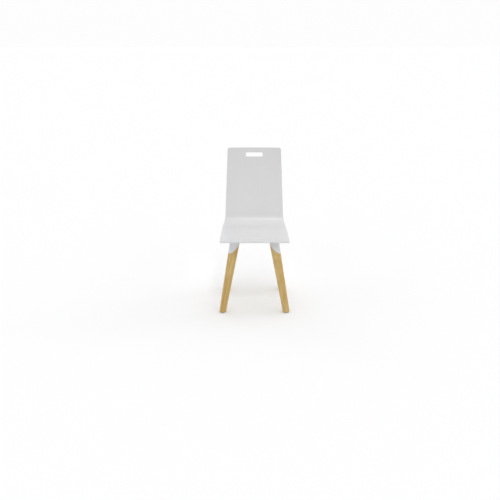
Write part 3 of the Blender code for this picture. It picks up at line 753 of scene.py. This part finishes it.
def knuckle_screw_place(end, side, step):
    """Where a knuckle screw's head bears on the rail's lower wall, seen from the seat's underside."""
    y = end * leg_span() / 2 + step * KNUCKLE_SCREW_SPACING / 2
    floor_of_rail = -RAIL_HEIGHT / 2 + RAIL_WALL
    return side_rail_matrix(side) @ Matrix.Translation((0.0, y, floor_of_rail + GAP))


def tube_mesh(length, shear=None):
    """A rectangular tube along Y, open at both ends. The shear moves each end's points along Y."""
    outer = (RAIL_WIDTH, RAIL_HEIGHT, RAIL_OUTER_RADIUS)
    inner = (RAIL_WIDTH - 2 * RAIL_WALL, RAIL_HEIGHT - 2 * RAIL_WALL, RAIL_INNER_RADIUS)
    rings = []
    for section, end in ((outer, -1), (outer, 1), (inner, 1), (inner, -1)):
        ring = box_ring(*section, end * length / 2)
        if shear:
            for point in ring:
                point.y += shear(point.x) * end
        rings.append(ring)
    return loft(rings, closed=True)


def make_side_rail(side_name, side, material):
    place = UNDERSIDE @ side_rail_matrix(side)
    mesh = tube_mesh(leg_span() + 2 * RAIL_OVERHANG)
    rail = add_piece(f"{side_name}_side_rail", mesh, material, place)
    shank = hole_mesh(SCREW_HOLE_DIAMETER, -2 * RAIL_WALL, RAIL_WALL)
    access = hole_mesh(SCREW_HEAD_DIAMETER + HOLE_ALLOWANCE, RAIL_HEIGHT / 2, 2 * RAIL_HEIGHT)
    places = [UNDERSIDE @ knuckle_screw_place(end, side, step) for _, end in ENDS for step in (-1, 1)]
    cut(rail, [(hole, hole_place) for hole_place in places for hole in (shank, access)])


def cross_rail_half_length(setback):
    """From the chair's middle to a side rail's inner face, at a distance behind the front edge."""
    inner_face = side_rail_matrix(1) @ Matrix.Translation((-RAIL_WIDTH / 2 - GAP, 0.0, 0.0))
    point = inner_face.translation
    along = inner_face.to_3x3() @ Vector((0.0, 1.0, 0.0))
    return point.x + along.x / along.y * (setback - point.y)


def cross_rail_place(end):
    """A cross rail's frame: Y along the rail to the right, X towards the front."""
    level = -(RAIL_TOP_DROP + RAIL_BOTTOM_DROP) / 2
    middle = Matrix.Translation((0.0, cross_rail_setback(end), level))
    return UNDERSIDE @ middle @ Matrix.Rotation(-pi / 2, 4, "Z")


def make_cross_rail(end_name, end, material):
    setback = cross_rail_setback(end)
    half_length = cross_rail_half_length(setback)
    place = cross_rail_place(end)

    def shear(x):
        return cross_rail_half_length(setback - x) - half_length

    mesh = tube_mesh(2 * half_length, shear)
    rail = add_piece(f"{end_name}_cross_rail", mesh, material, place)
    through = hole_mesh(SCREW_HOLE_DIAMETER, -2 * RAIL_BOTTOM_DROP, 0.0)
    cut(rail, [(through, UNDERSIDE @ seat_screw_matrix(end, side)) for _, side in SIDES])
    for side_name, side in SIDES:
        bead = weld_bead_mesh(lambda x: side * (half_length + shear(x)))
        add_piece(f"{end_name}_{side_name}_weld", bead, material, place, replaced=False)


def weld_path(end_y):
    """Down one side of the rail, along its underside and up the other: (point, way out, distance)."""
    radius = RAIL_OUTER_RADIUS
    side_length = RAIL_HEIGHT - 2 * radius
    arc_length = pi / 2 * radius
    total = 2 * (side_length + arc_length) + RAIL_WIDTH - 2 * radius
    count = round(total / WELD_RIPPLE * WELD_RIPPLE_STEPS)
    stops = []
    for index in range(count + 1):
        along = total * index / count
        side = 1 if along > total / 2 else -1
        run = min(along, total - along)
        down = min(run, side_length)
        heading = min(max(run - side_length, 0.0), arc_length) / radius
        inwards = max(run - side_length - arc_length, 0.0)
        x = side * (RAIL_WIDTH / 2 - radius * (1 - cos(heading)) - inwards)
        z = RAIL_HEIGHT / 2 - radius - down - radius * sin(heading)
        out = Vector((side * cos(heading), 0.0, -sin(heading)))
        stops.append((Vector((x, end_y(x), z)), out, along))
    return stops


def weld_bead_mesh(end_y):
    """A rippled half-round fillet in the corner between a cross rail's end and the side rail."""
    rings = []
    path = weld_path(end_y)
    total = path[-1][-1]
    for point, out, along in path:
        ripple = WELD_RIPPLE_HEIGHT * abs(sin(pi * along / WELD_RIPPLE))
        from_end = min(along, total - along)
        ending = sqrt(min(1.0, from_end / WELD_RADIUS + WELD_END))
        radius = (WELD_RADIUS - WELD_RIPPLE_HEIGHT + ripple) * ending
        inwards = Vector((0.0, -1.0 if point.y > 0 else 1.0, 0.0))
        ring = []
        for index in range(WELD_SIDES):
            angle = 2 * pi * index / WELD_SIDES
            ring.append(point + out * radius * cos(angle) + inwards * radius * sin(angle))
        rings.append(ring)
    return loft(rings)


def end_cap_mesh():
    """A plug that closes a rail's end, with a domed plate. Y points out of the tube."""
    rounding = END_CAP_PLATE / 3
    plate_top = GAP + END_CAP_PLATE - CAP_DOME
    plug_width = RAIL_WIDTH - 2 * (RAIL_WALL + GAP)
    plug_height = RAIL_HEIGHT - 2 * (RAIL_WALL + GAP)
    rings = []
    for share in CAP_DOME_SHARES:
        rise = CAP_DOME * (1 - share ** 2) / 2 + CAP_DOME_LIFT
        rings.append(box_ring(RAIL_WIDTH * share, RAIL_HEIGHT * share, RAIL_OUTER_RADIUS * share,
                              plate_top + rise))
    for across, up in quarter_turn():
        rings.append(box_ring(RAIL_WIDTH - 2 * rounding * up, RAIL_HEIGHT - 2 * rounding * up,
                              RAIL_OUTER_RADIUS, plate_top - rounding * across))
    rings.append(box_ring(RAIL_WIDTH, RAIL_HEIGHT, RAIL_OUTER_RADIUS, GAP))
    stops = [(GAP, 0.0)]
    rib_step = END_CAP_PLUG / (CAP_RIBS + 1)
    for rib in range(CAP_RIBS):
        stops += [(-rib_step * (rib + share), sunk) for share, sunk in CAP_RIB_PROFILE]
    stops.append((-END_CAP_PLUG, 2.0))
    for y, sunk in stops:
        shrink = 2 * CAP_RIB_DEPTH * sunk
        rings.append(box_ring(plug_width - shrink, plug_height - shrink, RAIL_INNER_RADIUS, y))
    return loft(rings)


def make_end_caps(material):
    mesh = end_cap_mesh()
    half_length = leg_span() / 2 + RAIL_OVERHANG
    for side_name, side in SIDES:
        for end_name, end in ENDS:
            place = UNDERSIDE @ side_rail_matrix(side) @ Matrix.Translation((0.0, end * half_length, 0.0))
            if end < 0:
                place = place @ Matrix.Rotation(pi, 4, "Z")
            add_piece(f"{side_name}_rail_{end_name}_cap", mesh, material, place)


# -------- fasteners and feet

def thread_profile(radius, length):
    """Down a threaded shank from its chamfered tip: a crest and a root for each pitch."""
    points = [(radius - 2 * THREAD_DEPTH, length), (radius - THREAD_DEPTH, length - THREAD_DEPTH)]
    for turn in range(int(length / THREAD_PITCH) - 2):
        crest = length - 2 * THREAD_DEPTH - turn * THREAD_PITCH
        points += [(radius, crest), (radius, crest - THREAD_PITCH / 8),
                   (radius - THREAD_DEPTH, crest - THREAD_PITCH / 2)]
    return points


def screw_mesh(length):
    """A button-head screw: Z = 0 under the head, and the threaded shank points up."""
    radius = SCREW_DIAMETER / 2
    head_radius = SCREW_HEAD_DIAMETER / 2
    rim = SCREW_HEAD_HEIGHT / 5
    dome_height = SCREW_HEAD_HEIGHT - rim
    flat_radius = head_radius / 2 + SMALL_ROUND
    profile = thread_profile(radius, length)
    profile += [(radius, 2 * SMALL_ROUND), (radius + SMALL_ROUND, 0.0), (head_radius - SMALL_ROUND, 0.0),
                (head_radius, -SMALL_ROUND), (head_radius, -rim)]
    for step in range(1, DOME_STEPS + 1):
        angle = pi / 2 * step / DOME_STEPS
        profile.append((flat_radius + (head_radius - flat_radius) * cos(angle),
                        -rim - dome_height * sin(angle)))
    socket = hexagon(HEX_SOCKET_WIDTH)
    socket_bottom = -SCREW_HEAD_HEIGHT + HEX_SOCKET_DEPTH
    profile += [(hexagon(HEX_SOCKET_WIDTH + 2 * SMALL_ROUND), -SCREW_HEAD_HEIGHT),
                (socket, -SCREW_HEAD_HEIGHT + SMALL_ROUND), (socket, socket_bottom),
                (HEX_SOCKET_WIDTH / 3, socket_bottom + SMALL_ROUND)]
    return turned(profile, SCREW_SIDES)


def spacer_mesh():
    """A ring with its outer edges rounded."""
    inner = SCREW_HOLE_DIAMETER / 2
    outer = SPACER_DIAMETER / 2
    bottom = -SPACER_THICKNESS - GAP
    rounding = SPACER_THICKNESS / 4
    turn = [(outer - rounding * up, rounding * across) for across, up in quarter_turn(SMALL_EDGE_STEPS)]
    profile = [(inner, bottom)]
    profile += [(reach, bottom + rise) for reach, rise in turn]
    profile += [(reach, -GAP - rise) for reach, rise in reversed(turn)]
    profile.append((inner, -GAP))
    return turned(profile, RING_SIDES, closed=True)


def insert_mesh():
    """A brass bush with barbed rings round it."""
    inner = SCREW_HOLE_DIAMETER / 2
    outer = INSERT_DIAMETER / 2
    bottom = GAP
    top = GAP + INSERT_LENGTH
    step = INSERT_LENGTH / BARB_COUNT
    profile = [(inner, bottom)]
    for barb in range(BARB_COUNT):
        start = bottom + barb * step
        profile += [(outer - BARB_DEPTH, start), (outer, start + step / 4), (outer, start + step * 3 / 4)]
    profile += [(outer - BARB_DEPTH, top), (inner, top)]
    return turned(profile, RING_SIDES, closed=True)


def glide_mesh():
    """A disc to slide on, with a sunk seat for the nail's head."""
    hole = NAIL_DIAMETER / 2 + GAP
    sink = NAIL_HEAD_DIAMETER / 2 + GAP
    sink_depth = NAIL_HEAD_THICKNESS + 2 * GAP
    radius = GLIDE_DIAMETER / 2
    profile = [(hole, GLIDE_THICKNESS), (radius - GLIDE_ROUND / 3, GLIDE_THICKNESS),
               (radius, GLIDE_THICKNESS - GLIDE_ROUND / 3)]
    for across, up in reversed(quarter_turn()):
        profile.append((radius - GLIDE_ROUND * up, GLIDE_ROUND * across))
    profile += [(sink + SMALL_ROUND, 0.0), (sink, SMALL_ROUND), (sink, sink_depth), (hole, sink_depth)]
    return turned(profile, RING_SIDES, closed=True)


def nail_mesh():
    """A nail that points up, its head with rounded edges sunk just above the floor."""
    radius = NAIL_DIAMETER / 2
    head_radius = NAIL_HEAD_DIAMETER / 2
    head_top = GAP + NAIL_HEAD_THICKNESS
    rounding = NAIL_HEAD_THICKNESS / 3
    profile = [(SMALL_ROUND, NAIL_LENGTH), (radius, NAIL_LENGTH - 2 * NAIL_DIAMETER),
               (radius, head_top + SMALL_ROUND), (radius + SMALL_ROUND, head_top),
               (head_radius - rounding / 2, head_top), (head_radius, head_top - rounding / 2)]
    for across, up in reversed(quarter_turn(SMALL_EDGE_STEPS)):
        profile.append((head_radius - rounding * up, GAP + rounding * across))
    return turned(profile, SCREW_SIDES)


def make_fasteners(zinc, brass, nylon):
    seat_screw = screw_mesh(SEAT_SCREW_LENGTH)
    leg_screw = screw_mesh(leg_screw_length())
    knuckle_screw = screw_mesh(KNUCKLE_SCREW_LENGTH)
    spacer = spacer_mesh()
    insert = insert_mesh()
    under_rail = Matrix.Translation((0.0, 0.0, -RAIL_BOTTOM_DROP - GAP))
    for name, end, side in CORNERS:
        at_screw = UNDERSIDE @ seat_screw_matrix(end, side)
        add_piece(f"{name}_seat_screw", seat_screw, zinc, at_screw @ under_rail)
        add_piece(f"{name}_spacer", spacer, nylon, at_screw)
        add_piece(f"{name}_insert", insert, brass, at_screw)
        in_leg = leg_matrix(end, side) @ leg_screw_matrix()
        add_piece(f"{name}_leg_screw", leg_screw, zinc, in_leg)
        for number, step in ((1, -1), (2, 1)):
            place = UNDERSIDE @ knuckle_screw_place(end, side, step) @ Matrix.Rotation(pi, 4, "X")
            add_piece(f"{name}_knuckle_screw_{number}", knuckle_screw, zinc, place)


def make_feet(nylon, steel):
    glide = glide_mesh()
    nail = nail_mesh()
    for name, end, side in CORNERS:
        place = Matrix.Translation(glide_centre(end, side))
        add_piece(f"{name}_glide", glide, nylon, place)
        add_piece(f"{name}_glide_nail", nail, steel, place)


# -------- materials

class Surface:
    """A material's node tree, with short calls for the nodes that the surfaces share."""

    def __init__(self, name, **constants):
        self.material = bpy.data.materials.new(name)
        self.material.use_nodes = True
        self.tree = self.material.node_tree
        self.shader = self.tree.nodes["Principled BSDF"]
        self.coordinates = self.tree.nodes.new("ShaderNodeTexCoord").outputs["Object"]
        for socket, value in constants.items():
            self.shader.inputs[socket.replace("_", " ")].default_value = value

    def node(self, kind, inputs, **settings):
        """A node, with each input either a value or another node's output."""
        made = self.tree.nodes.new(kind)
        for name, value in settings.items():
            setattr(made, name, value)
        for socket, value in inputs.items():
            if isinstance(value, bpy.types.NodeSocket):
                self.tree.links.new(value, made.inputs[socket])
            else:
                made.inputs[socket].default_value = value
        return made

    def noise(self, scale, detail=2.0, roughness=0.5, vector=None):
        """Noise at one scale, or at an (x, y, z) that stretches it along the smaller ones."""
        vector = vector or self.coordinates
        if isinstance(scale, tuple):
            vector = self.node("ShaderNodeMapping", {"Vector": vector, "Scale": scale}).outputs["Vector"]
            scale = 1.0
        inputs = {"Vector": vector, "Scale": scale, "Detail": detail, "Roughness": roughness}
        return self.node("ShaderNodeTexNoise", inputs).outputs["Fac"]

    def ramp(self, factor, low, high, start=0.0, end=1.0):
        """A factor from low to high, stretched or squeezed to run from start to end."""
        inputs = {"Value": factor, "From Min": low, "From Max": high, "To Min": start, "To Max": end}
        return self.node("ShaderNodeMapRange", inputs).outputs["Result"]

    def mix(self, factor, first, second):
        """Two colours mixed, each an (r, g, b) or another node's output."""
        made = self.node("ShaderNodeMix", {"Factor": factor}, data_type="RGBA")
        sockets = [socket for socket in made.inputs if socket.type == "RGBA"]
        for socket, colour in zip(sockets, (first, second)):
            if isinstance(colour, tuple):
                socket.default_value = (*colour, 1.0)
            else:
                self.tree.links.new(colour, socket)
        return next(socket for socket in made.outputs if socket.type == "RGBA")

    def maths(self, operation, first, second):
        made = self.node("ShaderNodeMath", {0: first, 1: second}, operation=operation)
        return made.outputs["Value"]

    def bump(self, height, distance, under=None):
        """A bump whose height runs from 0 to 1 over the distance, in metres."""
        inputs = {"Height": height, "Distance": distance, "Strength": 1.0}
        if under:
            inputs["Normal"] = under
        return self.node("ShaderNodeBump", inputs).outputs["Normal"]

    def finish(self, colour=None, roughness=None, normal=None):
        for socket, source in (("Base Color", colour), ("Roughness", roughness), ("Normal", normal)):
            if source is not None:
                self.tree.links.new(source, self.shader.inputs[socket])
        return self.material


def coated(name, colour, grain_scale, grain_depth, rough):
    """Powder coat or fine moulded plastic: a fine even grain, with faint clouds in its colour."""
    surface = Surface(name, Specular_IOR_Level=0.45)
    clouds = surface.noise(25.0, detail=3.0)
    darker = tuple(share * CLOUD_SHADE for share in colour)
    shade = surface.mix(surface.ramp(clouds, 0.35, 0.65), darker, colour)
    grain = surface.noise(grain_scale, detail=2.0, roughness=0.55)
    return surface.finish(shade, surface.ramp(grain, 0.3, 0.7, *rough), surface.bump(grain, grain_depth))


def lacquer_material():
    """White satin lacquer: faint veneer lines along the sheet and a fine orange peel."""
    surface = Surface("white satin lacquer", Specular_IOR_Level=0.5, Coat_Weight=0.15,
                      Coat_Roughness=0.25)
    clouds = surface.noise(6.0, detail=3.0)
    veneer = surface.noise((260.0, 9.0, 9.0), detail=4.0, roughness=0.6)
    tint = surface.mix(surface.ramp(clouds, 0.3, 0.7), SHELL_SHADE, SHELL_WHITE)
    colour = surface.mix(surface.ramp(veneer, 0.35, 0.65, 0.0, 0.2), tint, SHELL_VEIN)
    peel = surface.noise(700.0, detail=1.0)
    under = surface.bump(veneer, 0.00002)
    rough = surface.ramp(surface.noise(30.0, detail=4.0), 0.3, 0.7, 0.33, 0.41)
    return surface.finish(colour, rough, surface.bump(peel, 0.00001, under=under))


def beech_material():
    """Oiled beech along Z: growth rings cut lengthwise, streaks, pores and the short flecks of rays."""
    wood = Surface("oiled beech", Specular_IOR_Level=0.35)
    place = wood.node("ShaderNodeAttribute", {}, attribute_name="grain").outputs["Vector"]
    wander = wood.noise((14.0, 14.0, 2.2), vector=place)
    across = wood.node("ShaderNodeVectorMath", {0: place, 1: (1.0, 1.0, 0.02)}, operation="MULTIPLY")
    from_pith = wood.node("ShaderNodeVectorMath", {0: across.outputs["Vector"]}, operation="LENGTH")
    distance = wood.maths("ADD", from_pith.outputs["Value"], wood.maths("MULTIPLY", wander, RING_WANDER))
    ring = wood.maths("FRACT", wood.maths("DIVIDE", distance, RING_SPACING), 0.0)
    late_wood = wood.maths("MULTIPLY", wood.maths("POWER", ring, 3.0), 0.45)
    broad = wood.noise((60.0, 60.0, 3.0), vector=place)
    streaks = wood.noise((210.0, 210.0, 5.0), detail=4.0, roughness=0.6, vector=place)
    pore = wood.ramp(wood.noise((1500.0, 1500.0, 55.0), vector=place), 0.60, 0.72)
    fleck = wood.ramp(wood.noise((900.0, 900.0, 190.0), vector=place), 0.66, 0.74)
    colour = wood.mix(wood.ramp(broad, 0.4, 0.6), BEECH_DARK, BEECH_LIGHT)
    colour = wood.mix(wood.ramp(streaks, 0.35, 0.68, 0.0, 0.6), colour, BEECH_STREAK)
    colour = wood.mix(late_wood, colour, BEECH_RING)
    colour = wood.mix(wood.maths("MULTIPLY", pore, 0.35), colour, BEECH_FLECK)
    colour = wood.mix(wood.maths("MULTIPLY", fleck, 0.55), colour, BEECH_FLECK)
    rough = wood.ramp(streaks, 0.3, 0.7, 0.46, 0.60)
    raised_grain = wood.bump(streaks, 0.00006)
    sunk_pores = wood.bump(wood.maths("SUBTRACT", 1.0, pore), 0.00004, under=raised_grain)
    return wood.finish(colour, rough, sunk_pores)


def metal_material(name, light, dark, rough):
    """Plated or drawn metal with fine tumbling marks."""
    surface = Surface(name, Metallic=1.0)
    marks = surface.noise(2500.0, detail=3.0, roughness=0.6)
    clouds = surface.noise(300.0, detail=2.0)
    tint = surface.mix(surface.ramp(clouds, 0.35, 0.65), dark, light)
    return surface.finish(tint, surface.ramp(marks, 0.3, 0.7, *rough), surface.bump(marks, 0.000006))


def glide_material():
    """Warm grey nylon with the fine scuffs of a foot that slides."""
    surface = Surface("grey nylon", Specular_IOR_Level=0.4)
    scuffs = surface.noise((2200.0, 160.0, 300.0), detail=3.0)
    colour = surface.mix(surface.ramp(scuffs, 0.45, 0.7, 0.0, 0.6), GLIDE_GREY, GLIDE_SCUFF)
    rough = surface.ramp(scuffs, 0.3, 0.7, 0.42, 0.62)
    return surface.finish(colour, rough, surface.bump(scuffs, 0.00002))


# -------- floor, light and camera

def floor_material():
    surface = Surface("pale floor", Specular_IOR_Level=0.0, Roughness=1.0)
    clouds = surface.noise(0.8, detail=2.0)
    return surface.finish(surface.mix(clouds, FLOOR_SHADE, FLOOR_WHITE))


def make_floor():
    bm = bmesh.new()
    bmesh.ops.create_grid(bm, x_segments=2, y_segments=2, size=FLOOR_HALF_SIZE)
    floor = new_object("floor", mesh_from(bm))
    floor.data.materials.append(floor_material())
    floor.location.z = -GAP / 3


def make_sky():
    """A white studio whose brightness changes only with the height above the horizon."""
    world = bpy.data.worlds.new("studio")
    world.use_nodes = True
    bpy.context.scene.world = world
    tree = world.node_tree
    direction = tree.nodes.new("ShaderNodeTexCoord").outputs["Generated"]
    split = tree.nodes.new("ShaderNodeSeparateXYZ")
    ramp = tree.nodes.new("ShaderNodeValToRGB")
    stops = ramp.color_ramp.elements
    while len(stops) < len(SKY):
        stops.new(1.0)
    for stop, (elevation, colour) in zip(stops, SKY):
        stop.position = sin(elevation)
        stop.color = (*colour, 1.0)
    tree.links.new(direction, split.inputs["Vector"])
    tree.links.new(split.outputs["Z"], ramp.inputs["Fac"])
    background = tree.nodes["Background"]
    tree.links.new(ramp.outputs["Color"], background.inputs["Color"])
    background.inputs["Strength"].default_value = SKY_BRIGHTNESS


def add_lamp(light, place, towards):
    """Put a light at a place and turn it to shine along a direction."""
    lamp = new_object(light.name, light)
    lamp.location = place
    lamp.rotation_euler = towards.to_track_quat("-Z", "Y").to_euler()


def make_lamps():
    for name, azimuth, elevation, spread, strength in LAMPS:
        sun = bpy.data.lights.new(name, "SUN")
        sun.energy = strength
        sun.color = LAMP_COLOUR
        sun.angle = radians(spread)
        level = cos(radians(elevation))
        source = Vector((sin(radians(azimuth)) * level, -cos(radians(azimuth)) * level,
                         sin(radians(elevation))))
        add_lamp(sun, source, -source)
    spot = bpy.data.lights.new("seat spotlight", "SPOT")
    spot.energy = SPOT_POWER
    spot.spot_size = SPOT_CONE
    spot.spot_blend = 1.0
    spot.shadow_soft_size = SPOT_RADIUS
    add_lamp(spot, Vector(SPOT_PLACE), Vector(SPOT_TARGET) - Vector(SPOT_PLACE))


def make_camera():
    data = bpy.data.cameras.new("camera")
    data.lens = CAMERA_LENS
    camera = new_object("camera", data)
    camera.location = (-CAMERA_TO_LEFT, FRONT_Y - CAMERA_BEFORE_SEAT, CAMERA_HEIGHT)
    camera.rotation_euler = (pi / 2 - CAMERA_PITCH, 0.0, 0.0)
    bpy.context.scene.camera = camera


# -------- the scene

def main():
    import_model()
    bpy.context.scene.view_settings.view_transform = "Standard"
    make_shell(lacquer_material())
    coat = coated("white powder coat", COAT_WHITE, 900.0, 0.00003, rough=(0.40, 0.52))
    cast = coated("white cast coat", CAST_WHITE, 700.0, 0.00003, rough=(0.38, 0.50))
    plastic = coated("white plastic", PLASTIC_WHITE, 1400.0, 0.00002, rough=(0.48, 0.60))
    nylon = coated("spacer nylon", SPACER_GREY, 1200.0, 0.00001, rough=(0.50, 0.60))
    zinc = metal_material("zinc plate", ZINC_LIGHT, ZINC_DARK, rough=(0.24, 0.36))
    steel = metal_material("bright steel", STEEL_LIGHT, STEEL_DARK, rough=(0.28, 0.42))
    brass = metal_material("brass", BRASS_LIGHT, BRASS_DARK, rough=(0.25, 0.38))
    beech = beech_material()
    for side_name, side in SIDES:
        make_side_rail(side_name, side, coat)
    for end_name, end in ENDS:
        make_cross_rail(end_name, end, coat)
        for side_name, side in SIDES:
            make_leg(f"{end_name}_{side_name}", end, side, beech)
            make_knuckle(f"{end_name}_{side_name}", end, side, cast)
    make_end_caps(plastic)
    make_fasteners(zinc, brass, nylon)
    make_feet(glide_material(), steel)
    make_floor()
    make_sky()
    make_lamps()
    make_camera()


main()
